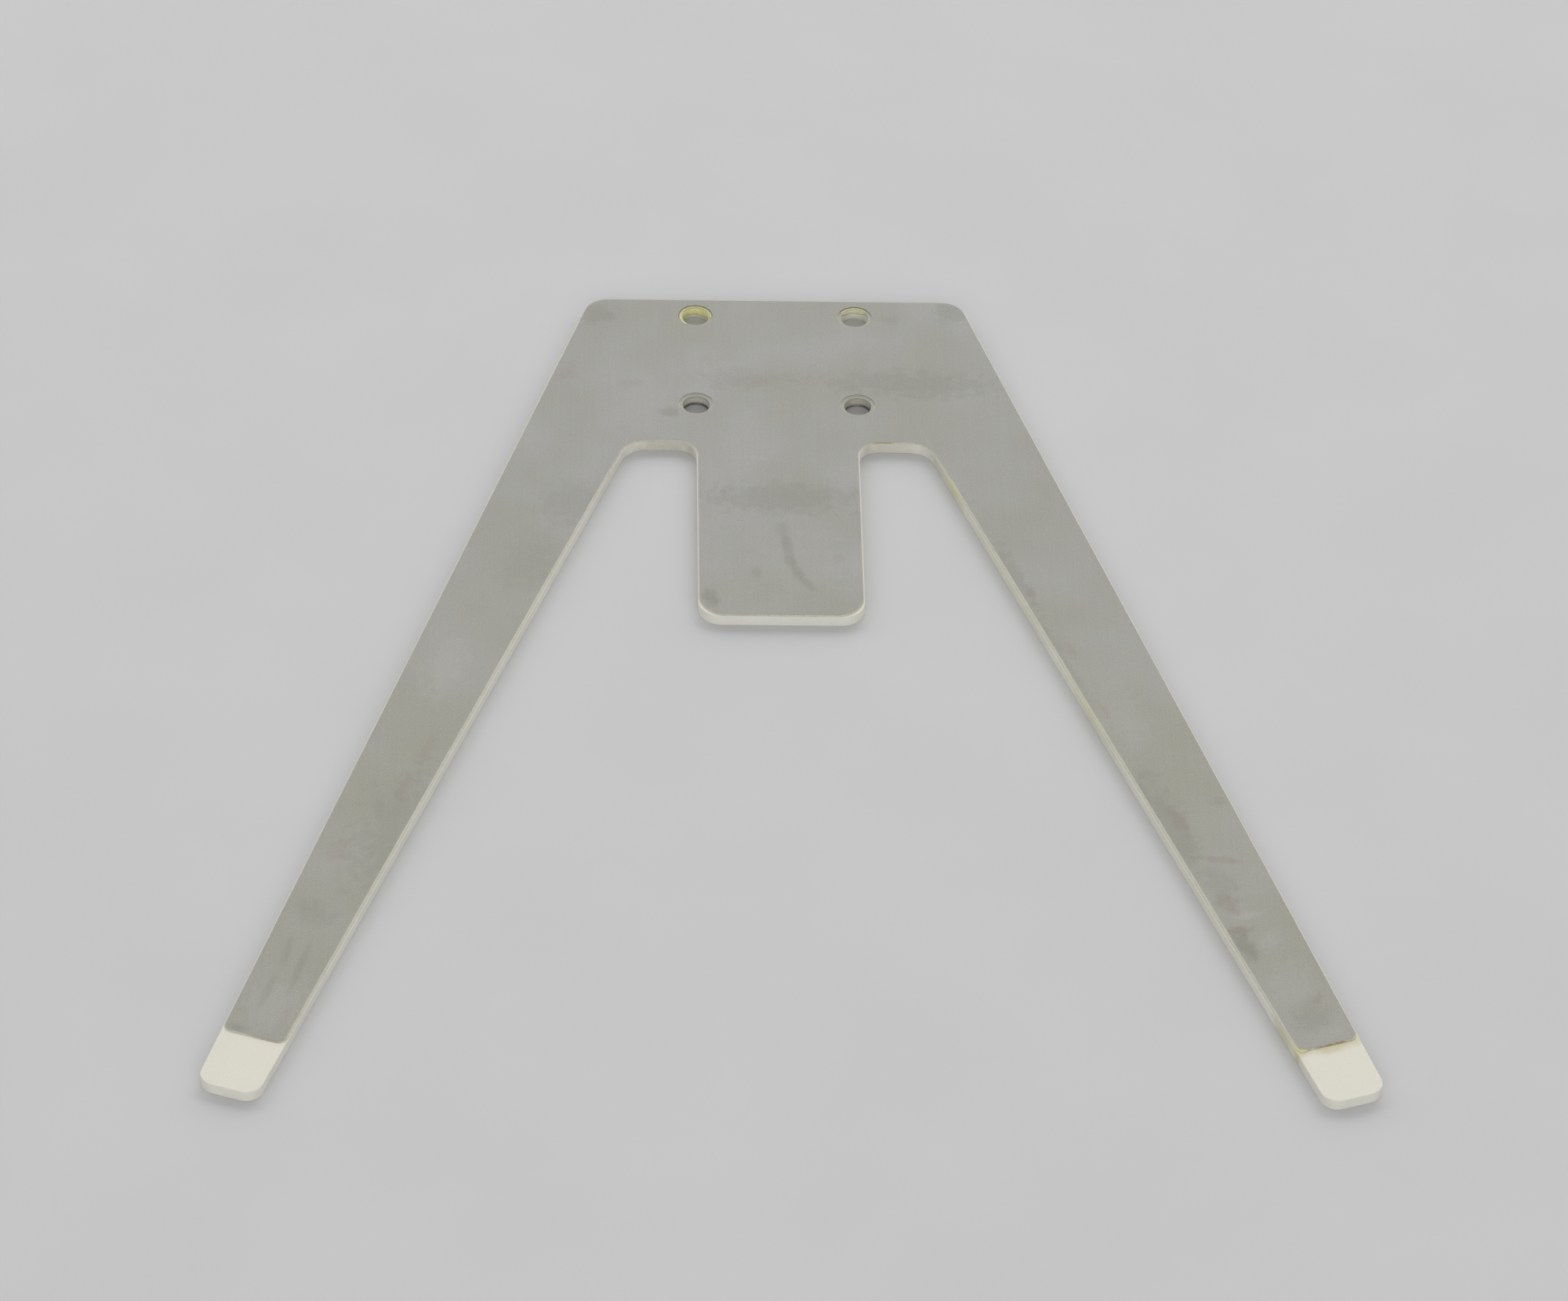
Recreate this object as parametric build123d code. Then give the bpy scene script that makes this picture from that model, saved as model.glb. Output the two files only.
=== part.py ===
from build123d import *
import os
from math import cos, radians, sin

# Wafer end effector: a flat ceramic fork with a thin metal sheet bonded to its upper face.
# Lengths are in millimetres and angles in degrees. The origin is the middle of the four screw
# holes, on the underside. +Z is up, and the two arms reach towards -Y.

# Screw holes at the mounting end
hole_spacing_x = 25.4
hole_spacing_y = 22.2
bore_diameter = 4.25

# Layers, from the underside up
blade_thickness = 1.8
film_thickness = 0.05
sheet_thickness = 0.15

# Mounting plate
plate_width = 59.2
plate_behind_holes = 4.2
plate_corner_radius = 4.0

# Tongue between the two notches
tongue_width = 25.4
tongue_length = 41.4
tongue_corner_radius = 3.5

# Notches between the tongue and the arms
notch_before_holes = 9.3
notch_width = 10.65
notch_inner_radius = 3.0
notch_outer_radius = 4.0

# Arms: the outer edge leans out by the flare, and the inner edge by the flare and the taper
arm_flare = 17.0
arm_taper = 2.7
arm_reach = 180.55
tip_corner_radius = 2.5

# Metal sheet: set back from the edge of the ceramic, and short of the tips
sheet_inset = 0.25
bare_tip_length = 10.95
sheet_end_radius = 1.2
sheet_tongue_radius = 4.2
ring_width = 0.6

# Adhesive that stands out past the sheet's edge, and the broken edges of the ceramic
squeeze_out = 0.1
edge_break = 0.08

# Places that follow from the sizes above
plate_rear_y = hole_spacing_y / 2 + plate_behind_holes
notch_y = -hole_spacing_y / 2 - notch_before_holes
tongue_front_y = notch_y - tongue_length
notch_outer_x = tongue_width / 2 + notch_width
arm_lean = arm_flare + arm_taper / 2
film_base = blade_thickness
sheet_base = film_base + film_thickness
sheet_hole_diameter = bore_diameter + 2 * ring_width


def lean_direction(angle):
    """Unit vector that runs forwards and leans out to +X by the angle."""
    return Vector(sin(radians(angle)), -cos(radians(angle)))


def end_point(start, angle, reach):
    """Where an edge from start meets the line square to the arm at the given reach."""
    along_arm = lean_direction(arm_lean)
    direction = lean_direction(angle)
    travel = (reach - start.dot(along_arm)) / direction.dot(along_arm)
    return start + direction * travel


def right_corners(tongue_radius):
    """Corners of the right half of the ceramic's outline, front to rear, with their radii."""
    rear = Vector(plate_width / 2, plate_rear_y)
    notch_outer = Vector(notch_outer_x, notch_y)
    return [
        (Vector(tongue_width / 2, tongue_front_y), tongue_radius),
        (Vector(tongue_width / 2, notch_y), notch_inner_radius),
        (notch_outer, notch_outer_radius),
        (end_point(notch_outer, arm_flare + arm_taper, arm_reach), tip_corner_radius),
        (end_point(rear, arm_flare, arm_reach), tip_corner_radius),
        (rear, plate_corner_radius),
    ]


def round_corners(face, points, radius):
    """Round the corners of a face that lie at the given points."""
    picked = [face.vertices().sort_by_distance(point)[0] for point in points]
    return fillet(picked, radius)


def mirrored(point):
    """The same place on the other side of the blade."""
    return Vector(-point.X, point.Y)


def blade_outline(tongue_radius):
    """Outline of the ceramic without the holes, its tongue rounded by the given radius."""
    corners = right_corners(tongue_radius)
    right = [point for point, _ in corners]
    left = [mirrored(point) for point in reversed(right)]
    face = make_face(Polyline(*right, *left, close=True))
    for point, radius in corners:
        face = round_corners(face, [point, mirrored(point)], radius)
    return face


def screw_holes(diameter):
    """The four screw holes as circles."""
    places = GridLocations(hole_spacing_x, hole_spacing_y, 2, 2)
    return places * Circle(diameter / 2)


def beyond_reach(reach):
    """Two rectangles that cover all of both arms past the given reach."""
    depth = arm_reach
    middle = lean_direction(arm_lean) * (reach + depth / 2)
    right = Location((middle.X, middle.Y), arm_lean) * Rectangle(2 * plate_width, depth)
    return right + mirror(right, about=Plane.YZ)


def sheet_outline(overhang):
    """Outline of the sheet with its holes, grown all round by the overhang."""
    inset = sheet_inset - overhang
    reach = arm_reach - bare_tip_length + overhang
    face = offset(blade_outline(sheet_tongue_radius + sheet_inset), -inset) - beyond_reach(reach)
    outer = Vector(plate_width / 2, plate_rear_y)
    inner = Vector(notch_outer_x, notch_y)
    for start, angle in ((outer, arm_flare), (inner, arm_flare + arm_taper)):
        corner = end_point(start, angle, reach)
        face = round_corners(face, [corner, mirrored(corner)], sheet_end_radius + overhang)
    return face - screw_holes(sheet_hole_diameter - 2 * overhang)


def ceramic_blade():
    """The fork: one flat ceramic plate with every sharp edge broken."""
    outline = blade_outline(tongue_corner_radius)
    blade = extrude(outline - screw_holes(bore_diameter), blade_thickness)
    flat_faces = blade.faces().filter_by(Axis.Z)
    return chamfer(flat_faces.edges(), edge_break)


def adhesive_film():
    """The bond line, which stands out a little past the sheet."""
    return Pos(0, 0, film_base) * extrude(sheet_outline(squeeze_out), film_thickness)


def face_sheet():
    """The thin metal sheet on top."""
    return Pos(0, 0, sheet_base) * extrude(sheet_outline(0), sheet_thickness)


os.makedirs("parts", exist_ok=True)
export_step(ceramic_blade(), "parts/ceramic_blade.step")
export_step(adhesive_film(), "parts/adhesive_film.step")
export_step(face_sheet(), "parts/face_sheet.step")
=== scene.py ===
from math import cos, exp, pi, radians, sin

import bpy
from mathutils import Matrix, Vector


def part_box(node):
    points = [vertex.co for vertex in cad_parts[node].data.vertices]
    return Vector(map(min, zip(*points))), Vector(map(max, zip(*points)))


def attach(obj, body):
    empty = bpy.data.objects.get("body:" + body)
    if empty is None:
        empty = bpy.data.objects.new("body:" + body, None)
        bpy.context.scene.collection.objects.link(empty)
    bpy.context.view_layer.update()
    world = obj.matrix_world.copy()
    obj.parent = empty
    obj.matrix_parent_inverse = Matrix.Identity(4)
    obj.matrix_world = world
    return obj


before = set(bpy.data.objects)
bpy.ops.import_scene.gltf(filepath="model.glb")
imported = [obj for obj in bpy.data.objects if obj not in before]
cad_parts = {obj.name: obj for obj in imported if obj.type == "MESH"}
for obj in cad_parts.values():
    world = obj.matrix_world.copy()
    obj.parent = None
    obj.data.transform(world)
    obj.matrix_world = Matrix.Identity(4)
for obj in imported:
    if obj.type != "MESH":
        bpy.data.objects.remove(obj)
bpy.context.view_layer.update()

bl_info = {
    "name": "Wafer end effector finish",
    "version": (1, 0, 0),
    "blender": (4, 5, 0),
    "location": "View3D > Sidebar > End effector",
    "description": "Dresses a ceramic wafer blade with a bonded metal sheet and sets its stage",
    "category": "Object",
}

MM = 0.001
BODY = "root"

# Height of the ceramic's upper face, in metres
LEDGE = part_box("ceramic_blade")[1][2]

# Screw holes, in millimetres from the middle of the four
HOLE_X = 12.7
HOLE_Y = 11.1
BORE_RADIUS = 2.125
SHEET_HOLE_RADIUS = 2.725

# Sizes of grain, patches and the like in the finishes, in millimetres
CERAMIC_GRAIN = 0.16
CERAMIC_SPECKS = 0.45
CERAMIC_CLOUDS = 9.0
ADHESIVE_LUMPS = 0.3
ADHESIVE_PATCHES = 3.0
SHEET_GRAIN = 0.22
SHEET_LINES = 0.35
SHEET_PATCHES = 2.6
SHEET_CLOUDS = 16.0
FLOOR_CLOUDS = 30.0

# How metallic and how shiny the dull, hazed sheet still is
SHEET_METALLIC = 0.25
SHEET_SPECULAR = 0.3

# Depths of the relief in the finishes, in millimetres
GRAIN_DEPTH = 0.006
LUMP_DEPTH = 0.01


class EndEffectorColours(bpy.types.PropertyGroup):
    """Colours of the blade's materials and of its stage."""

    ceramic: bpy.props.FloatVectorProperty(
        name="Ceramic", description="Ivory of the bare ceramic", subtype="COLOR",
        default=(0.69, 0.67, 0.575), min=0, max=1)
    ceramic_shade: bpy.props.FloatVectorProperty(
        name="Darker ceramic", subtype="COLOR",
        description="Duller ceramic along the sheet and in the notches",
        default=(0.52, 0.50, 0.43), min=0, max=1)
    ceramic_ring: bpy.props.FloatVectorProperty(
        name="Hole rings", subtype="COLOR",
        description="Ceramic under a haze of adhesive round the screw holes",
        default=(0.350, 0.345, 0.290), min=0, max=1)
    ceramic_side: bpy.props.FloatVectorProperty(
        name="Ceramic sides", description="Cleaner ceramic of the ground sides", subtype="COLOR",
        default=(0.69, 0.68, 0.61), min=0, max=1)
    # Painted shade: a darker ceramic that stands in for the shade on the walls of the front bores
    ceramic_bore_painted_shade: bpy.props.FloatVectorProperty(
        name="Front bores", description="Painted shade on the walls of the two front bores", subtype="COLOR",
        default=(0.40, 0.39, 0.33), min=0, max=1)
    ceramic_yellow: bpy.props.FloatVectorProperty(
        name="Yellowed ceramic", subtype="COLOR",
        description="Ceramic that adhesive has stained beside the sheet",
        default=(0.55, 0.52, 0.35), min=0, max=1)
    ceramic_tint: bpy.props.FloatVectorProperty(
        name="Tinted ceramic", description="Ceramic that adhesive has tinted", subtype="COLOR",
        default=(0.60, 0.60, 0.45), min=0, max=1)
    adhesive: bpy.props.FloatVectorProperty(
        name="Adhesive", description="Cured adhesive where it has yellowed little", subtype="COLOR",
        default=(0.54, 0.53, 0.455), min=0, max=1)
    adhesive_yellow: bpy.props.FloatVectorProperty(
        name="Yellowed adhesive", description="Cured adhesive where it lies thick", subtype="COLOR",
        default=(0.66, 0.64, 0.265), min=0, max=1)
    adhesive_dull: bpy.props.FloatVectorProperty(
        name="Dull adhesive", subtype="COLOR",
        description="Top of the adhesive round the two rear holes",
        default=(0.45, 0.435, 0.22), min=0, max=1)
    adhesive_brown: bpy.props.FloatVectorProperty(
        name="Browned adhesive", subtype="COLOR",
        description="Cured adhesive at the ends of the sheet",
        default=(0.30, 0.19, 0.08), min=0, max=1)
    sheet: bpy.props.FloatVectorProperty(
        name="Sheet", description="Grey of the clean metal sheet", subtype="COLOR",
        default=(0.350, 0.347, 0.330), min=0, max=1)
    sheet_olive: bpy.props.FloatVectorProperty(
        name="Olive haze", description="Grey of the sheet where it is hazed", subtype="COLOR",
        default=(0.342, 0.341, 0.290), min=0, max=1)
    sheet_rub: bpy.props.FloatVectorProperty(
        name="Rubbed sheet", subtype="COLOR",
        description="Grey of the sheet where it is rubbed clean",
        default=(0.43, 0.42, 0.405), min=0, max=1)
    sheet_edge: bpy.props.FloatVectorProperty(
        name="Smeared edge", subtype="COLOR",
        description="Thin adhesive smeared over the sheet's inner edges",
        default=(0.515, 0.515, 0.445), min=0, max=1)
    sheet_stain: bpy.props.FloatVectorProperty(
        name="Sheet stain", description="Dark smears on the sheet", subtype="COLOR",
        default=(0.235, 0.235, 0.200), min=0, max=1)
    sheet_rust: bpy.props.FloatVectorProperty(
        name="Sheet rust", description="Brown spots on the sheet", subtype="COLOR",
        default=(0.270, 0.195, 0.165), min=0, max=1)
    # Painted shadow: a dark colour that stands in for the contact shadow at the foot of the front
    # bores
    bore_foot_shadow: bpy.props.FloatVectorProperty(
        name="Bore shadow", description="Painted shadow at the foot of the front bores", subtype="COLOR",
        default=(0.11, 0.105, 0.09), min=0, max=1)
    floor: bpy.props.FloatVectorProperty(
        name="Floor", description="Pale floor under the blade", subtype="COLOR",
        default=(0.575, 0.575, 0.58), min=0, max=1)


class EndEffectorSizes(bpy.types.PropertyGroup):
    """Sizes of the adhesive, of the camera and of the stage."""

    bead_width: bpy.props.FloatProperty(
        name="Bead width", description="How far a bead of adhesive reaches onto the ledge",
        default=0.135 * MM, min=0.02 * MM, precision=5, unit="LENGTH")
    bead_height: bpy.props.FloatProperty(
        name="Bead height", description="Height of a bead of adhesive at the sheet's edge",
        default=0.19 * MM, min=0.02 * MM, precision=5, unit="LENGTH")
    run_thickness: bpy.props.FloatProperty(
        name="Run thickness", description="Thickness of the adhesive that ran into a hole",
        default=0.07 * MM, min=0.01 * MM, precision=5, unit="LENGTH")
    bead_step: bpy.props.FloatProperty(
        name="Bead step", description="Distance between the points of the bead round the sheet",
        default=0.5 * MM, min=0.05 * MM, precision=5, unit="LENGTH")
    end_bead_step: bpy.props.FloatProperty(
        name="End bead step", description="Distance between the points of the beads at its ends",
        default=0.15 * MM, min=0.05 * MM, precision=5, unit="LENGTH")
    camera_distance: bpy.props.FloatProperty(
        name="Camera distance", description="From the camera to the point that it looks at",
        default=1.0373, min=0.1, unit="LENGTH")
    camera_elevation: bpy.props.FloatProperty(
        name="Camera elevation", description="Height of the view above the blade's plane",
        default=radians(41.2), subtype="ANGLE")
    camera_turn: bpy.props.FloatProperty(
        name="Camera turn", description="Turn of the view about the vertical",
        default=radians(-2.25), subtype="ANGLE")
    camera_roll: bpy.props.FloatProperty(
        name="Camera roll", description="Tilt of the camera about its own axis",
        default=radians(2.05), subtype="ANGLE")
    camera_lens: bpy.props.FloatProperty(
        name="Camera lens", description="Focal length of the lens, in millimetres",
        default=157.98, min=1, subtype="DISTANCE_CAMERA")
    sky_strength: bpy.props.FloatProperty(
        name="Room light", description="Strength of the even light from all round",
        default=0.337, min=0, subtype="FACTOR")
    floor_size: bpy.props.FloatProperty(
        name="Floor size", description="Edge of the square floor",
        default=6.0, min=1, unit="LENGTH")


# Nodes of the materials

def linked_material(name):
    """A new material with its shader, ready for more nodes."""
    material = bpy.data.materials.new(name)
    material.use_nodes = True
    tree = material.node_tree
    return material, tree, tree.nodes["Principled BSDF"]


def add_node(tree, kind, sockets=(), **settings):
    """A node with its settings, and with values or links on its sockets."""
    node = tree.nodes.new(kind)
    for name, value in settings.items():
        setattr(node, name, value)
    for key, value in dict(sockets).items():
        if isinstance(value, bpy.types.NodeSocket):
            tree.links.new(value, node.inputs[key])
        else:
            node.inputs[key].default_value = value
    return node


def place_of(tree):
    """The place on the object, in metres."""
    return add_node(tree, "ShaderNodeTexCoord").outputs["Object"]


def noise(tree, place, size, detail=2.0, stretch=(1, 1, 1), seed=0.0):
    """Soft noise whose blots are about the given size in millimetres, times the stretch."""
    scaled = add_node(tree, "ShaderNodeMapping", {
        "Vector": place, "Location": (seed, seed, seed),
        "Scale": [1 / (size * MM * factor) for factor in stretch]})
    return add_node(tree, "ShaderNodeTexNoise", {
        "Vector": scaled.outputs["Vector"], "Scale": 1.0, "Detail": detail}).outputs["Fac"]


def levels(tree, value, low, high, out_low=0.0, out_high=1.0, soft=True):
    """Brings a value from one range to another, with soft ends."""
    kind = "SMOOTHSTEP" if soft else "LINEAR"
    return add_node(tree, "ShaderNodeMapRange", {
        "Value": value, "From Min": low, "From Max": high, "To Min": out_low, "To Max": out_high},
        interpolation_type=kind).outputs["Result"]


def noise_between(tree, value, low, high, soft=True):
    """Noise brought to the range between two values."""
    return levels(tree, value, 0.3, 0.7, low, high, soft)


def added(tree, first, second):
    """The sum of two values."""
    return add_node(tree, "ShaderNodeMath", {0: first, 1: second}, operation="ADD").outputs[0]


def times(tree, first, second):
    """The product of two values."""
    return add_node(tree, "ShaderNodeMath", {0: first, 1: second}, operation="MULTIPLY").outputs[0]


def greatest(tree, values):
    """The greatest of several masks."""
    result = values[0]
    for value in values[1:]:
        inputs = {0: result, 1: value}
        result = add_node(tree, "ShaderNodeMath", inputs, operation="MAXIMUM").outputs[0]
    return result


def mixed(tree, mask, first, second):
    """Goes from the first colour to the second where the mask is 1."""
    node = add_node(tree, "ShaderNodeMix", data_type="RGBA")
    # The node has one set of sockets for each type of value: 6, 7 and output 2 are the colours'
    for index, value in ((0, mask), (6, first), (7, second)):
        if isinstance(value, bpy.types.NodeSocket):
            tree.links.new(value, node.inputs[index])
        else:
            node.inputs[index].default_value = (*value, 1) if index else value
    return node.outputs[2]


def by_height(tree, place, first, second):
    """Mask that goes from 0 at the first height to 1 at the second, in millimetres."""
    height = add_node(tree, "ShaderNodeSeparateXYZ", {0: place}).outputs["Z"]
    return levels(tree, height, first * MM, second * MM)


def shaded(tree, colour, value):
    """The colour made lighter or darker by a value near 1."""
    inputs = {"Color": colour, "Value": value}
    return add_node(tree, "ShaderNodeHueSaturation", inputs).outputs["Color"]


# Where a mark has its full strength and where it ends, as shares of its half sizes
MARK_CORE = 0.25
MARK_END = 1.15


def spot(tree, place, ragged, centre, half_sizes, turn=0.0, strength=1.0):
    """Mask of a soft oval mark: millimetres for its centre and half sizes, degrees for its turn."""
    x, y = centre
    width, length = half_sizes
    local = add_node(tree, "ShaderNodeMapping", {
        "Vector": place, "Location": (x * MM, y * MM, 0), "Rotation": (0, 0, radians(turn)),
        "Scale": (width * MM, length * MM, 1)}, vector_type="TEXTURE").outputs["Vector"]
    length = add_node(tree, "ShaderNodeVectorMath", {0: local}, operation="LENGTH")
    distance = added(tree, length.outputs["Value"], ragged)
    return levels(tree, distance, MARK_END, MARK_CORE, 0.0, strength)


def bump(tree, shader, height, depth):
    """Small relief whose depth is in millimetres."""
    inputs = {"Height": height, "Strength": 1.0, "Distance": depth * MM}
    node = add_node(tree, "ShaderNodeBump", inputs)
    tree.links.new(node.outputs["Normal"], shader.inputs["Normal"])


def edge_mask(tree, radius):
    """Mask of what lies within the radius, in millimetres, of a sharp edge."""
    rounded = add_node(tree, "ShaderNodeBevel", {"Radius": radius * MM}, samples=6)
    true = add_node(tree, "ShaderNodeNewGeometry")
    normals = {0: rounded.outputs["Normal"], 1: true.outputs["Normal"]}
    agree = add_node(tree, "ShaderNodeVectorMath", normals, operation="DOT_PRODUCT")
    return levels(tree, agree.outputs["Value"], 0.995, 0.85)


def dress(node, material):
    """Assigns the material to the slots of a CAD node's object."""
    for material_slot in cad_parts[node].material_slots:
        material_slot.material = material


# Places of marks. Each has its centre, half sizes, turn and strength.

# Darker, duller ceramic in the notches and on the arms' inner walls beside them
CERAMIC_SHADES = (
    ((-18.0, -20.4), (6.5, 3.2), 0, 1.0),
    ((18.0, -20.4), (6.5, 3.2), 0, 0.7),
    ((26.0, -28.0), (2.5, 9.0), 19.7, 0.8),
    ((-26.0, -28.0), (2.5, 9.0), -19.7, 0.35),
)
# Ceramic that adhesive has tinted, along the right arm and in the rear bores
CERAMIC_TINTS = (
    ((27.3, -31.5), (2.2, 6.0), 19.7, 0.9),
    ((35.0, -53.0), (1.6, 20.0), 19.7, 0.5),
    ((46.0, -84.0), (1.6, 16.0), 19.7, 0.6),
    ((60.0, -123.0), (1.6, 24.0), 19.7, 0.25),
    ((71.0, -153.0), (1.5, 6.0), 19.7, 0.6),
    ((-12.7, 11.1), (3.2, 3.2), 0, 1.0),
    ((12.7, 11.1), (3.2, 3.2), 0, 0.55),
)
# Yellow stains beside the sheet
CERAMIC_YELLOWS = (
    ((72.4, -155.0), (2.8, 1.3), 18.4, 1.0),
    ((69.6, -150.0), (0.9, 3.2), 19.7, 0.7),
    ((76.9, -153.6), (5.2, 1.5), 18.4, 0.95),
    ((81.0, -152.4), (1.0, 1.2), 18.4, 0.6),
    ((46.2, -83.4), (1.0, 4.0), 19.7, 0.25),
    ((27.1, -30.6), (1.0, 2.4), 19.7, 0.5),
)
# Round the screw holes: bare rings, painted shade in the front bores with a painted shadow at their
# foot, dull adhesive at the rear ones
HOLE_RINGS = tuple(
    ((x, y), (7.0, 7.0), 0, 1.0) for x in (-HOLE_X, HOLE_X) for y in (-HOLE_Y, HOLE_Y))
# Painted shade on the walls of the two front bores, stronger in the right one
BORE_SHADES = (
    ((-12.7, -11.1), (8.0, 8.0), 0, 0.7),
    ((12.7, -11.1), (8.0, 8.0), 0, 1.0),
)
# Painted shadow at the foot of the two front bores
BORE_FOOT_SHADOW = (
    ((-12.7, -11.1), (5.0, 5.0), 0, 1.0),
    ((12.7, -11.1), (5.0, 5.0), 0, 1.0),
)
HOLE_TOPS = (
    ((-12.7, 11.1), (8.0, 8.0), 0, 1.0),
    ((12.7, 11.1), (8.0, 8.0), 0, 0.8),
)
# Pale smear over the sheet's inner edges
INNER_EDGES = (
    ((57.30, -114.47), (0.29, 90.0), 19.7, 0.9),
    ((39.77, -65.51), (0.29, 50.0), 19.7, 0.9),
    ((31.00, -41.03), (0.26, 22.0), 19.7, 0.8),
    ((-57.30, -114.47), (0.29, 90.0), -19.7, 1.0),
    ((-39.77, -65.51), (0.29, 50.0), -19.7, 1.0),
    ((-31.00, -41.03), (0.28, 22.0), -19.7, 0.9),
)
# Where the sheet's edge is dark on the right arm
EDGE_LINES = (
    ((62.0, -118.0), (15.0, 42.0), 18.4, 0.8),
    ((38.0, -60.0), (6.0, 34.0), 19.7, 0.5),
)
# Yellow and brown adhesive
YELLOW_PLACES = (
    ((-12.7, 11.1), (5.6, 4.2), 0, 1.0),
    ((12.7, 11.1), (3.4, 3.4), 0, 0.30),
    ((27.3, -30.8), (1.6, 4.0), 19.7, 0.8),
    ((46.4, -83.3), (1.6, 9.0), 19.7, 0.32),
    ((71.8, -154.8), (1.7, 2.4), 19.7, 0.75),
    ((80.6, -152.0), (1.2, 1.4), 19.7, 0.7),
)
BROWN_PLACES = (
    ((77.0, -153.6), (4.2, 0.9), 18.4, 0.9),
    ((-74.0, -154.4), (2.8, 0.9), -18.4, 0.5),
    ((-80.7, -151.9), (0.8, 1.2), 0, 0.6),
    ((16.5, -20.2), (2.2, 0.7), 0, 0.6),
)
# Marks on the sheet
DARK_SMEARS = (
    ((21.0, -5.8), (17.0, 4.2), -2, 0.30),
    ((-5.0, -5.0), (10.5, 2.8), 0, 0.20),
    ((0.0, -33.8), (15.5, 4.4), 0, 0.32),
    ((25.5, -35.0), (5.0, 4.5), 0, 0.20),
    ((-31.0, -36.0), (8.0, 6.0), 0, 0.24),
    ((-28.3, 11.5), (3.6, 3.0), 30, 0.34),
    ((28.2, 12.6), (3.4, 3.0), -30, 0.32),
    ((18.9, 10.6), (2.4, 1.6), 0, 0.16),
    ((-16.8, -13.1), (2.6, 1.4), 0, 0.45),
    ((-8.7, -32.7), (0.9, 1.5), 20, 0.45),
    ((-10.9, -57.4), (1.5, 2.6), 20, 0.55),
    ((-3.7, -51.7), (1.3, 1.8), 0, 0.26),
    ((35.9, -52.0), (1.6, 9.0), 19.7, 0.34),
    ((42.4, -72.0), (1.3, 14.0), 19.7, 0.24),
    ((56.0, -108.0), (4.0, 14.0), 18.4, 0.34),
    ((62.8, -121.0), (3.0, 6.0), 18.4, 0.25),
    ((65.6, -133.6), (1.8, 4.2), 18.4, 0.55),
    ((74.4, -147.8), (3.8, 4.6), 18.4, 0.32),
    ((-38.5, -49.0), (5.0, 9.0), -18.4, 0.16),
    ((-57.5, -110.0), (6.0, 16.0), -18.4, 0.28),
    ((-68.6, -128.0), (4.0, 3.0), -18.4, 0.26),
    ((-78.2, -151.8), (1.8, 0.9), -18.4, 0.42),
)
SMEAR_STROKES = (
    ((0.4, -41.4), (1.5, 2.4), 5, 0.30),
    ((1.0, -45.0), (1.2, 3.6), 8, 0.46),
    ((1.5, -48.8), (1.2, 3.0), 12, 0.46),
    ((2.6, -51.8), (1.1, 2.8), 28, 0.44),
    ((3.8, -53.9), (1.0, 2.3), 34, 0.36),
    ((4.7, -55.3), (0.9, 1.3), 38, 0.26),
    ((-72.1, -136.5), (0.8, 4.6), -10, 0.26),
    ((-74.6, -144.5), (0.8, 5.0), -17, 0.30),
    ((-70.2, -139.8), (0.8, 6.6), -14, 0.32),
)
RUST_SPOTS = (
    ((-32.8, -3.6), (2.6, 3.4), 0, 0.16),
    ((-23.3, -6.4), (2.2, 1.6), 0, 0.13),
    ((8.9, -48.3), (1.2, 1.2), 0, 0.14),
    ((38.2, -56.2), (0.8, 2.4), 19.7, 0.24),
    ((43.6, -69.2), (0.8, 3.0), 19.7, 0.18),
    ((47.8, -82.6), (0.8, 2.4), 19.7, 0.16),
    ((57.4, -107.0), (1.4, 3.4), 19.7, 0.26),
    ((63.8, -102.5), (1.2, 1.6), 0, 0.18),
    ((63.4, -115.2), (4.4, 0.8), -6, 0.26),
    ((64.0, -124.6), (2.2, 3.0), 10, 0.28),
    ((65.5, -130.1), (1.9, 1.2), 0, 0.46),
    ((75.6, -143.8), (0.9, 2.0), -10, 0.20),
    ((-53.0, -92.6), (1.2, 5.0), -19.7, 0.15),
    ((-55.9, -101.2), (1.2, 4.0), -19.7, 0.13),
    ((-65.6, -114.9), (2.4, 3.0), -18.4, 0.15),
    ((-72.0, -150.0), (0.8, 4.0), -19.7, 0.13),
)
PALE_RUBS = (
    ((-4.0, -24.4), (3.6, 0.7), -3, 0.22),
    ((66.3, -127.0), (3.0, 1.1), 8, 0.40),
    ((69.2, -132.4), (2.0, 2.6), 0, 0.28),
    ((-51.1, -74.5), (4.2, 9.0), -14, 0.26),
    ((50.5, -83.0), (4.6, 9.0), 18.4, 0.20),
    ((76.5, -150.8), (3.4, 1.8), 18.4, 0.30),
    ((72.0, -141.0), (5.0, 7.0), 18.4, 0.22),
    ((-73.0, -147.0), (5.5, 7.0), -18.4, 0.26),
    ((2.0, -50.0), (12.0, 9.0), 0, 0.16),
    ((-12.0, 2.0), (4.0, 2.0), 0, 0.10),
)


def marks(tree, place, ragged, places):
    """One mask of several marks."""
    return greatest(tree, [spot(tree, place, ragged, *mark) for mark in places])


def marked(tree, place, ragged, colour, *paints):
    """The colour with marks on it. Each paint is the places of its marks and its colour."""
    for places, paint in paints:
        colour = mixed(tree, marks(tree, place, ragged, places), colour, paint)
    return colour


def ragged_edge(tree, place, size, amount):
    """Noise about zero that makes the outlines of marks uneven."""
    return noise_between(tree, noise(tree, place, size, 3.0), -amount, amount, soft=False)


# Pieces

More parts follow.
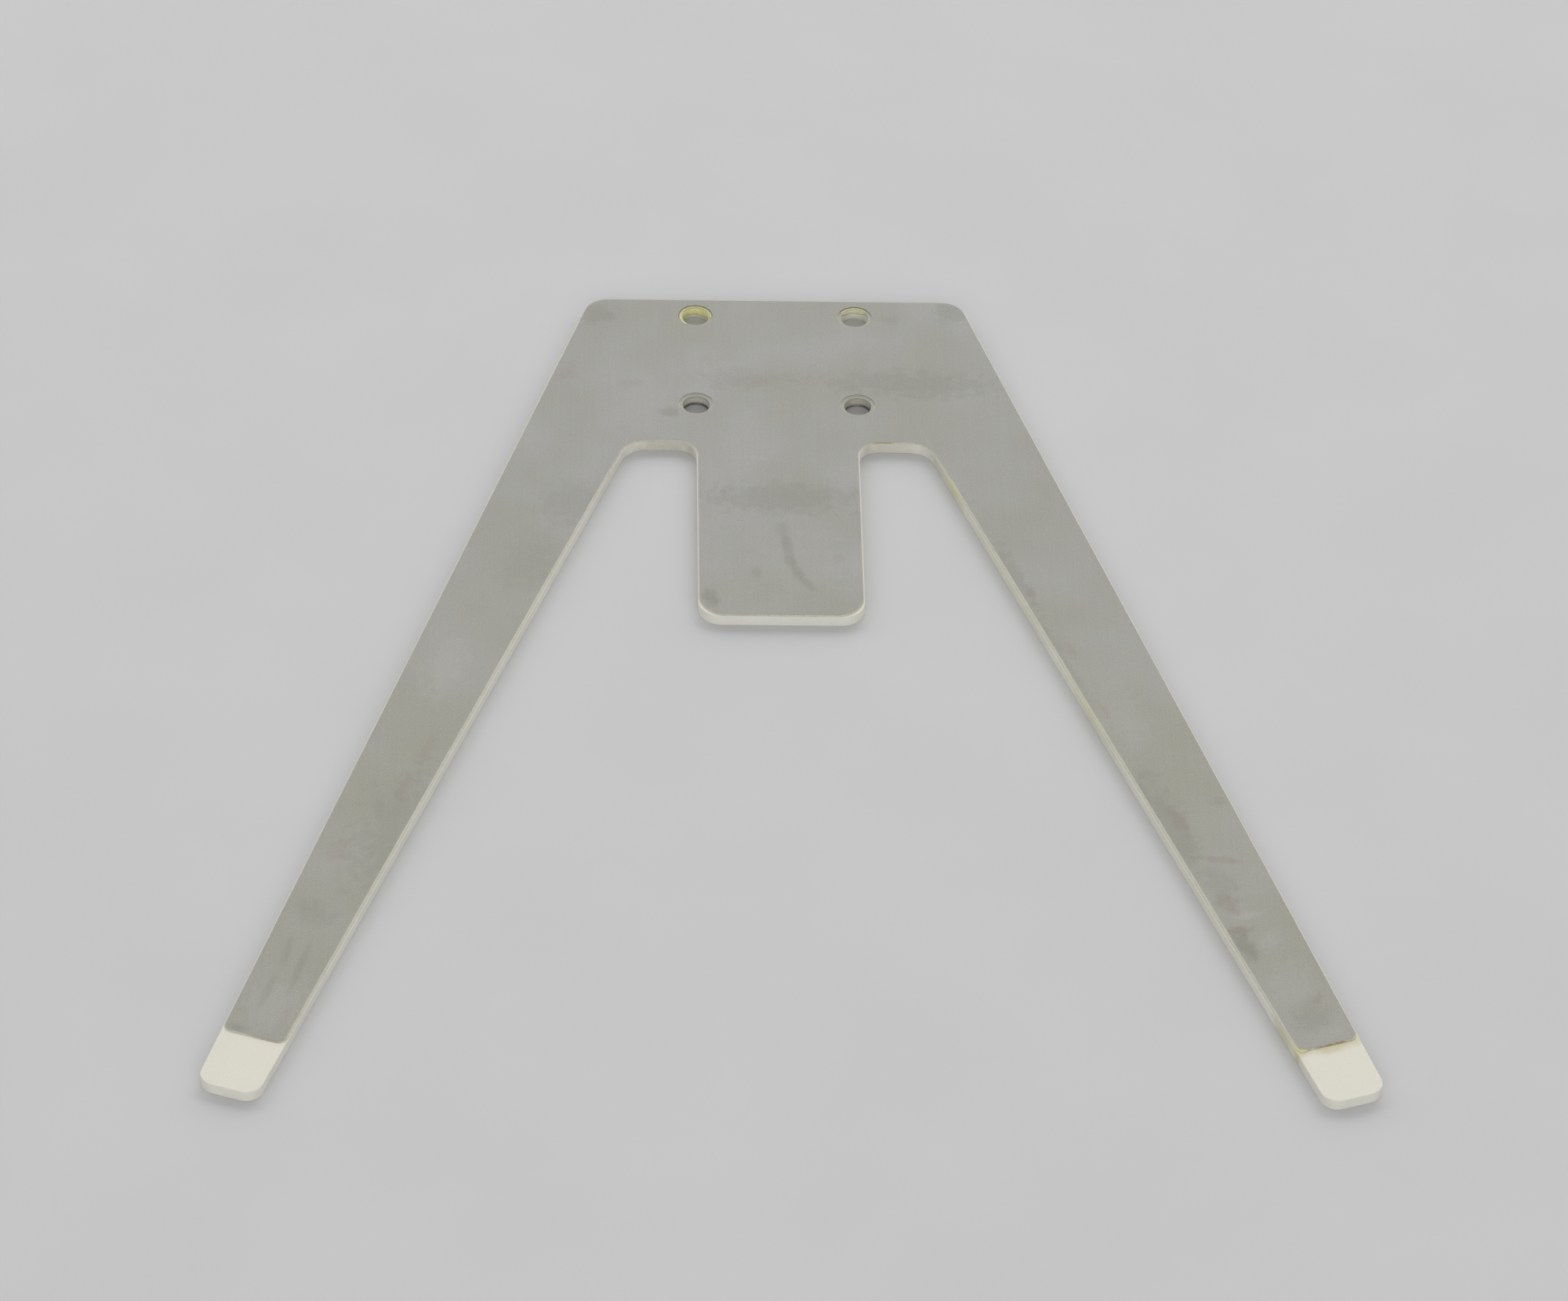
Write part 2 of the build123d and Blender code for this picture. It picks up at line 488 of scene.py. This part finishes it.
class OBJECT_OT_end_effector_ceramic(bpy.types.Operator):
    """Finish the ceramic blade"""

    bl_idname = "object.end_effector_ceramic"
    bl_label = "Ceramic blade"

    def execute(self, context):
        colours = context.scene.end_effector_colours
        material, tree, shader = linked_material("ground_ceramic")
        place = place_of(tree)
        ragged = ragged_edge(tree, place, 2.2, 0.3)

        # The ground sides are cleaner than the upper face
        sides = by_height(tree, place, 1.76, 1.70)
        colour = mixed(tree, sides, colours.ceramic, colours.ceramic_side)
        # Then darker ceramic in the notches, adhesive tints and stains, and painted shade in the
        # front bores
        colour = marked(
            tree, place, ragged, colour,
            (CERAMIC_SHADES, colours.ceramic_shade), (CERAMIC_TINTS, colours.ceramic_tint),
            (CERAMIC_YELLOWS, colours.ceramic_yellow), (BORE_SHADES, colours.ceramic_bore_painted_shade))

        # The rings round the screw holes are dull where the sheet's holes leave them bare
        rings = marks(tree, place, ragged_edge(tree, place, 1.2, 0.05), HOLE_RINGS)
        upper = by_height(tree, place, 1.2, 1.75)
        colour = mixed(tree, times(tree, rings, upper), colour, colours.ceramic_ring)

        # Painted shadow at the foot of the two front bores, where their far walls meet the floor
        foot = by_height(tree, place, 0.75, 0.30)
        foot_shadowed = times(tree, marks(tree, place, ragged, BORE_FOOT_SHADOW), foot)
        colour = mixed(tree, foot_shadowed, colour, colours.bore_foot_shadow)

        # A fine grain, soft clouds and a few dark specks
        grain = noise(tree, place, CERAMIC_GRAIN, 3.0)
        clouds = noise(tree, place, CERAMIC_CLOUDS, 2.0)
        specks = levels(tree, noise(tree, place, CERAMIC_SPECKS, 1.0, seed=7.0), 0.72, 0.80)
        colour = mixed(tree, times(tree, specks, 0.25), colour, colours.ceramic_shade)
        cloud_value = noise_between(tree, clouds, 0.975, 1.02)
        value = added(tree, cloud_value, noise_between(tree, grain, -0.03, 0.03))
        tree.links.new(shaded(tree, colour, value), shader.inputs["Base Color"])
        tree.links.new(noise_between(tree, clouds, 0.5, 0.62), shader.inputs["Roughness"])
        bump(tree, shader, grain, GRAIN_DEPTH)
        dress("ceramic_blade", material)
        return {"FINISHED"}


def adhesive_material():
    """Cured adhesive, pale in the bond line, yellow or brown in some places."""
    if "cured_adhesive" in bpy.data.materials:
        return bpy.data.materials["cured_adhesive"]
    colours = bpy.context.scene.end_effector_colours
    material, tree, shader = linked_material("cured_adhesive")
    place = place_of(tree)
    ragged = ragged_edge(tree, place, 1.0, 0.35)
    patches = levels(tree, noise(tree, place, ADHESIVE_PATCHES, seed=3.0), 0.35, 0.75, 0.0, 0.2)
    colour = mixed(tree, patches, colours.adhesive, colours.adhesive_yellow)
    colour = marked(
        tree, place, ragged, colour,
        (YELLOW_PLACES, colours.adhesive_yellow), (BROWN_PLACES, colours.adhesive_brown))

    # Dull on top round the rear holes
    near_holes = marks(tree, place, ragged_edge(tree, place, 1.0, 0.1), HOLE_TOPS)
    tops = times(tree, near_holes, by_height(tree, place, 1.68, 1.80))
    colour = mixed(tree, tops, colour, colours.adhesive_dull)

    lumps = noise(tree, place, ADHESIVE_LUMPS)
    colour = shaded(tree, colour, noise_between(tree, lumps, 0.9, 1.08))
    tree.links.new(colour, shader.inputs["Base Color"])
    tree.links.new(noise_between(tree, lumps, 0.28, 0.42), shader.inputs["Roughness"])
    bump(tree, shader, lumps, LUMP_DEPTH)
    return material


class OBJECT_OT_end_effector_film(bpy.types.Operator):
    """Finish the adhesive film"""

    bl_idname = "object.end_effector_film"
    bl_label = "Adhesive film"

    def execute(self, context):
        dress("adhesive_film", adhesive_material())
        return {"FINISHED"}


class OBJECT_OT_end_effector_sheet(bpy.types.Operator):
    """Finish the metal face sheet"""

    bl_idname = "object.end_effector_sheet"
    bl_label = "Face sheet"

    def execute(self, context):
        colours = context.scene.end_effector_colours
        material, tree, shader = linked_material("rolled_sheet")
        place = place_of(tree)
        ragged = ragged_edge(tree, place, 1.6, 0.38)

        # Haze in large clouds and small patches, stronger on the arms than on the plate
        clouds = noise(tree, place, SHEET_CLOUDS, 3.0)
        patches = noise(tree, place, SHEET_PATCHES, seed=5.0)
        along = add_node(tree, "ShaderNodeSeparateXYZ", {0: place}).outputs["Y"]
        reach = levels(tree, along, -20 * MM, -110 * MM, 0.0, 0.55)
        haze = added(tree, reach, levels(tree, clouds, 0.35, 0.65, 0.0, 0.5))
        haze = added(tree, haze, levels(tree, patches, 0.35, 0.65, -0.08, 0.08))
        colour = mixed(tree, haze, colours.sheet, colours.sheet_olive)

        # Rubs, smears and brown spots, then the dark rim and the smeared inner edges
        smooth = ragged_edge(tree, place, 1.6, 0.12)
        colour = marked(
            tree, place, ragged, colour,
            (PALE_RUBS, colours.sheet_rub), (DARK_SMEARS, colours.sheet_stain))
        colour = marked(tree, place, smooth, colour, (SMEAR_STROKES, colours.sheet_stain))
        colour = marked(tree, place, ragged, colour, (RUST_SPOTS, colours.sheet_rust))
        rim = times(tree, edge_mask(tree, 0.16), marks(tree, place, ragged, EDGE_LINES))
        colour = mixed(tree, rim, colour, colours.sheet_stain)
        colour = marked(tree, place, smooth, colour, (INNER_EDGES, colours.sheet_edge))

        # Fine grain and faint lines from rolling
        grain = noise(tree, place, SHEET_GRAIN, 4.0)
        lines = noise(tree, place, SHEET_LINES, stretch=(1, 60, 1))
        grain_value = noise_between(tree, grain, 0.93, 1.07)
        value = added(tree, grain_value, noise_between(tree, lines, -0.012, 0.012))
        tree.links.new(shaded(tree, colour, value), shader.inputs["Base Color"])
        tree.links.new(noise_between(tree, clouds, 0.66, 0.74), shader.inputs["Roughness"])
        shader.inputs["Metallic"].default_value = SHEET_METALLIC
        shader.inputs["Specular IOR Level"].default_value = SHEET_SPECULAR
        bump(tree, shader, grain, GRAIN_DEPTH)
        dress("face_sheet", material)
        return {"FINISHED"}


# Adhesive that was squeezed out

def top_loops(node):
    """Closed loops of points round a CAD node's upper face, the longest first, in metres."""
    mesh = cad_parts[node].data
    top = max(vertex.co.z for vertex in mesh.vertices)
    edges = []
    for polygon in mesh.polygons:
        ring = list(polygon.vertices)
        if all(top - mesh.vertices[index].co.z < 0.001 * MM for index in ring):
            corners = [tuple(round(value, 7) for value in mesh.vertices[index].co[:2])
                       for index in ring]
            edges.extend(zip(corners, corners[1:] + corners[:1]))
    # An edge that is used one way only lies on the border
    used = set(edges)
    following = {first: second for first, second in edges if (second, first) not in used}
    loops = []
    while following:
        start, point = following.popitem()
        loop = [start]
        while point != start:
            loop.append(point)
            point = following.pop(point)
        loops.append([Vector((*corner, 0)) for corner in loop])
    return sorted(loops, key=len_of_loop, reverse=True)


def len_of_loop(loop):
    """Length round a closed loop."""
    return sum((second - first).length for first, second in zip(loop, loop[1:] + loop[:1]))


def evenly_spaced(loop, step):
    """The loop's points again, at even steps."""
    points = []
    for first, second in zip(loop, loop[1:] + loop[:1]):
        count = max(1, round((second - first).length / step))
        points.extend(first.lerp(second, index / count) for index in range(count))
    return points


def stretch_of(loop, start, end):
    """The part of a loop from near the start to near the end, which are in millimetres."""
    def nearest(place):
        target = Vector((*place, 0)) * MM
        return min(range(len(loop)), key=lambda index: (loop[index] - target).length)
    first, last = nearest(start), nearest(end)
    if last < first:
        return loop[first:] + loop[:last + 1]
    return loop[first:last + 1]


def outward(points, index, closed):
    """Unit vector to the right of a run of points, which is away from the sheet."""
    if closed:
        before, after = points[index - 1], points[(index + 1) % len(points)]
    else:
        before, after = points[max(index - 1, 0)], points[min(index + 1, len(points) - 1)]
    along = (after - before).normalized()
    return Vector((along.y, -along.x, 0))


def new_piece(name, vertices, faces):
    """A smooth mesh piece of adhesive that rides on the blade."""
    mesh = bpy.data.meshes.new(name)
    mesh.from_pydata(vertices, [], faces)
    mesh.validate()
    for polygon in mesh.polygons:
        polygon.use_smooth = True
    mesh.materials.append(adhesive_material())
    piece = bpy.data.objects.new(name, mesh)
    bpy.context.scene.collection.objects.link(piece)
    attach(piece, BODY)
    return piece


def skin(rings, closed=False):
    """Faces of a tube through rings of equal size, which runs round or is capped at both ends."""
    size = len(rings[0])
    vertices = [point for ring in rings for point in ring]
    faces = []
    for row in range(len(rings) if closed else len(rings) - 1):
        base, above = row * size, (row + 1) % len(rings) * size
        for column in range(size):
            after = (column + 1) % size
            faces.append((base + column, above + column, above + after, base + after))
    if not closed:
        faces.append(tuple(range(size)))
        faces.append(tuple(reversed(range((len(rings) - 1) * size, len(rings) * size))))
    return vertices, faces


# Section of a bead, across and up, as shares of its width and height
BEAD_SECTION = (
    (-0.05, 0.0), (1.0, 0.0), (0.95, 0.28), (0.80, 0.58), (0.52, 0.84), (0.2, 0.97), (-0.05, 1.0))

# Lengths of the fine and the broad waves along a bead, in millimetres
BEAD_WAVES = (7, 40)


def add_bead(name, points, sizes, closed=False, swell=()):
    """A bead along the foot of the sheet, with waves along it and with thin ends if it is open.

    Swells are where it spreads wider: x, y, how much wider and how far along, in millimetres.
    """
    rings = []
    count = len(points)
    length = sum((second - first).length for first, second in zip(points, points[1:]))
    fine, broad = (round(length / (pitch * MM)) for pitch in BEAD_WAVES)
    for index, point in enumerate(points):
        share = 1.0 if closed else min(index, count - 1 - index) / max(8, count // 10)
        taper = 0.12 + 0.88 * sin(min(1.0, share) * pi / 2)
        phase = 2 * pi * index / count
        wave = 0.93 + 0.06 * sin(fine * phase) * cos(broad * phase) + 0.04 * sin(broad * phase)
        width = sizes.bead_width * taper * wave
        for x, y, spread, reach in swell:
            gap = (point - Vector((x, y, 0)) * MM).length / (reach * MM)
            width += spread * MM * exp(-gap * gap)
        height = sizes.bead_height * taper * (0.6 + 0.4 * wave)
        aside = outward(points, index, closed)
        rings.append([point + aside * (width * across) + Vector((0, 0, LEDGE + height * up))
                      for across, up in BEAD_SECTION])
    return new_piece(name, *skin(rings, closed))


class OBJECT_OT_end_effector_beads(bpy.types.Operator):
    """Lay the beads of adhesive along the foot of the sheet"""

    bl_idname = "object.end_effector_beads"
    bl_label = "Adhesive beads"

    def execute(self, context):
        sizes = context.scene.end_effector_sizes
        outline = top_loops("face_sheet")[0]
        add_bead("bead_round_sheet", evenly_spaced(outline, sizes.bead_step), sizes, closed=True)
        fine = evenly_spaced(outline, sizes.end_bead_step)
        add_bead("bead_right_end", stretch_of(fine, (70.6, -151.6), (80.2, -151.0)), sizes,
                 swell=((72.4, -154.9, 0.34, 0.9), (80.2, -152.6, 0.16, 0.8),
                        (76.6, -153.8, 0.05, 3.0)))
        add_bead("bead_left_end", stretch_of(fine, (-80.2, -151.0), (-71.0, -152.6)), sizes,
                 swell=((-75.0, -154.0, 0.06, 2.5),))
        return {"FINISHED"}


# Steps round the hole in a run of adhesive
RUN_STEPS = 40


def add_run(name, centre, start, end, depth, sizes):
    """Adhesive that covers a hole's ring and ran down its wall, between two angles in degrees.

    The radii and heights here are in millimetres.
    """
    thick = sizes.run_thickness / MM
    wall = BORE_RADIUS - 0.005
    top = LEDGE / MM
    rings = []
    for index in range(RUN_STEPS + 1):
        share = index / RUN_STEPS
        angle = radians(start + (end - start) * share)
        bulk = sin(pi * share) ** 0.5
        foot = top - 0.25 - (depth - 0.25) * bulk * (0.85 + 0.15 * sin(9 * share))
        skin_depth = 0.012 + thick * bulk
        section = (
            # Up the edge of the sheet's hole and over the ring
            (SHEET_HOLE_RADIUS, top), (SHEET_HOLE_RADIUS, top + 0.02 + 0.9 * skin_depth),
            (2.45, top + skin_depth), (2.24, top + 0.6 * skin_depth),
            # Down into the bore, to a thin foot
            (wall - skin_depth * 0.8, top - 0.1), (wall - skin_depth, top - 0.3 * bulk - 0.15),
            (wall - skin_depth * 0.7, foot + 0.15), (wall, foot),
            # Back up the wall, to the bore's broken edge
            (wall, top - 0.085), (2.2, top))
        away = Vector((cos(angle), sin(angle), 0))
        rings.append([(Vector((*centre, 0)) + away * radius + Vector((0, 0, height))) * MM
                      for radius, height in section])
    return new_piece(name, *skin(rings))


class OBJECT_OT_end_effector_runs(bpy.types.Operator):
    """Add the adhesive that ran into the two rear screw holes"""

    bl_idname = "object.end_effector_runs"
    bl_label = "Adhesive runs"

    def execute(self, context):
        sizes = context.scene.end_effector_sizes
        add_run("run_rear_left_hole", (-HOLE_X, HOLE_Y), -10, 235, 1.55, sizes)
        add_run("run_rear_right_hole", (HOLE_X, HOLE_Y), 40, 150, 0.9, sizes)
        return {"FINISHED"}


# Stage

def add_camera(sizes):
    """The camera stands as the photograph's does, a little left of the middle and far back."""
    aim = Vector((0.17, -69.77, 2.0)) * MM
    facing = (Matrix.Rotation(sizes.camera_turn, 4, "Z")
              @ Matrix.Rotation(radians(90) - sizes.camera_elevation, 4, "X")
              @ Matrix.Rotation(sizes.camera_roll, 4, "Z"))
    data = bpy.data.cameras.new("photo_camera")
    data.sensor_width = 36
    data.lens = sizes.camera_lens
    camera = bpy.data.objects.new("photo_camera", data)
    stand = facing @ Vector((0, 0, sizes.camera_distance))
    camera.matrix_world = Matrix.Translation(aim + stand) @ facing
    bpy.context.scene.collection.objects.link(camera)
    bpy.context.scene.camera = camera
    return camera


# Soft panels of light: name, place, width and height in metres, and power in watts
PANELS = (
    ("rear_right_panel", (1.28, 2.11, 1.33), (4.4, 2.6), 47.0),
    ("rear_middle_panel", (0.40, 2.33, 1.60), (2.0, 1.8), 18.5),
    ("rear_left_panel", (-1.72, 1.79, 1.40), (2.4, 2.0), 25.5),
    ("front_panel", (0.0, -2.62, 1.33), (5.6, 1.6), 60.0),
)


def add_lamp(name, place, size, power):
    """A soft panel of the given width and height that shines at the middle of the blade."""
    aim = Vector((0, -0.07, 0))
    data = bpy.data.lights.new(name, "AREA")
    data.shape = "RECTANGLE"
    data.size, data.size_y = size
    data.energy = power
    lamp = bpy.data.objects.new(name, data)
    lamp.visible_camera = False
    lamp.location = place
    lamp.rotation_euler = (Vector(place) - aim).to_track_quat("Z", "Y").to_euler()
    bpy.context.scene.collection.objects.link(lamp)
    return lamp


class SCENE_OT_end_effector_stage(bpy.types.Operator):
    """Lay the floor and set the lights and the camera"""

    bl_idname = "scene.end_effector_stage"
    bl_label = "Stage"

    def execute(self, context):
        scene = context.scene
        sizes = scene.end_effector_sizes
        half = sizes.floor_size / 2
        mesh = bpy.data.meshes.new("floor")
        corners = [(-half, -half, 0), (half, -half, 0), (half, half, 0), (-half, half, 0)]
        mesh.from_pydata(corners, [], [(0, 1, 2, 3)])
        floor = bpy.data.objects.new("floor", mesh)
        scene.collection.objects.link(floor)
        material, tree, shader = linked_material("pale_floor")
        place = place_of(tree)
        value = noise_between(tree, noise(tree, place, FLOOR_CLOUDS, 3.0), 0.99, 1.01)
        colour = shaded(tree, (*scene.end_effector_colours.floor, 1), value)
        tree.links.new(colour, shader.inputs["Base Color"])
        shader.inputs["Roughness"].default_value = 0.9
        mesh.materials.append(material)
        world = bpy.data.worlds.new("soft_room")
        scene.world = world
        world.use_nodes = True
        sky = world.node_tree.nodes["Background"]
        sky.inputs["Color"].default_value = (1, 1, 1, 1)
        sky.inputs["Strength"].default_value = sizes.sky_strength
        for panel in PANELS:
            add_lamp(*panel)
        add_camera(sizes)
        scene.view_settings.view_transform = "Standard"
        return {"FINISHED"}


STEPS = (
    OBJECT_OT_end_effector_ceramic,
    OBJECT_OT_end_effector_film,
    OBJECT_OT_end_effector_sheet,
    OBJECT_OT_end_effector_beads,
    OBJECT_OT_end_effector_runs,
    SCENE_OT_end_effector_stage,
)


class VIEW3D_PT_end_effector(bpy.types.Panel):
    """Steps and settings of the wafer end effector"""

    bl_idname = "VIEW3D_PT_end_effector"
    bl_label = "End effector"
    bl_space_type = "VIEW_3D"
    bl_region_type = "UI"
    bl_category = "End effector"

    def draw(self, context):
        for step in STEPS:
            self.layout.operator(step.bl_idname)
        for group in (context.scene.end_effector_sizes, context.scene.end_effector_colours):
            for name in group.__annotations__:
                self.layout.prop(group, name)


CLASSES = (EndEffectorColours, EndEffectorSizes, *STEPS, VIEW3D_PT_end_effector)


def register():
    for cls in CLASSES:
        bpy.utils.register_class(cls)
    bpy.types.Scene.end_effector_colours = bpy.props.PointerProperty(type=EndEffectorColours)
    bpy.types.Scene.end_effector_sizes = bpy.props.PointerProperty(type=EndEffectorSizes)


def unregister():
    del bpy.types.Scene.end_effector_sizes
    del bpy.types.Scene.end_effector_colours
    for cls in reversed(CLASSES):
        bpy.utils.unregister_class(cls)


def main():
    register()
    bpy.ops.object.end_effector_ceramic()
    bpy.ops.object.end_effector_film()
    bpy.ops.object.end_effector_sheet()
    bpy.ops.object.end_effector_beads()
    bpy.ops.object.end_effector_runs()
    bpy.ops.scene.end_effector_stage()


if __name__ == "__main__":
    main()
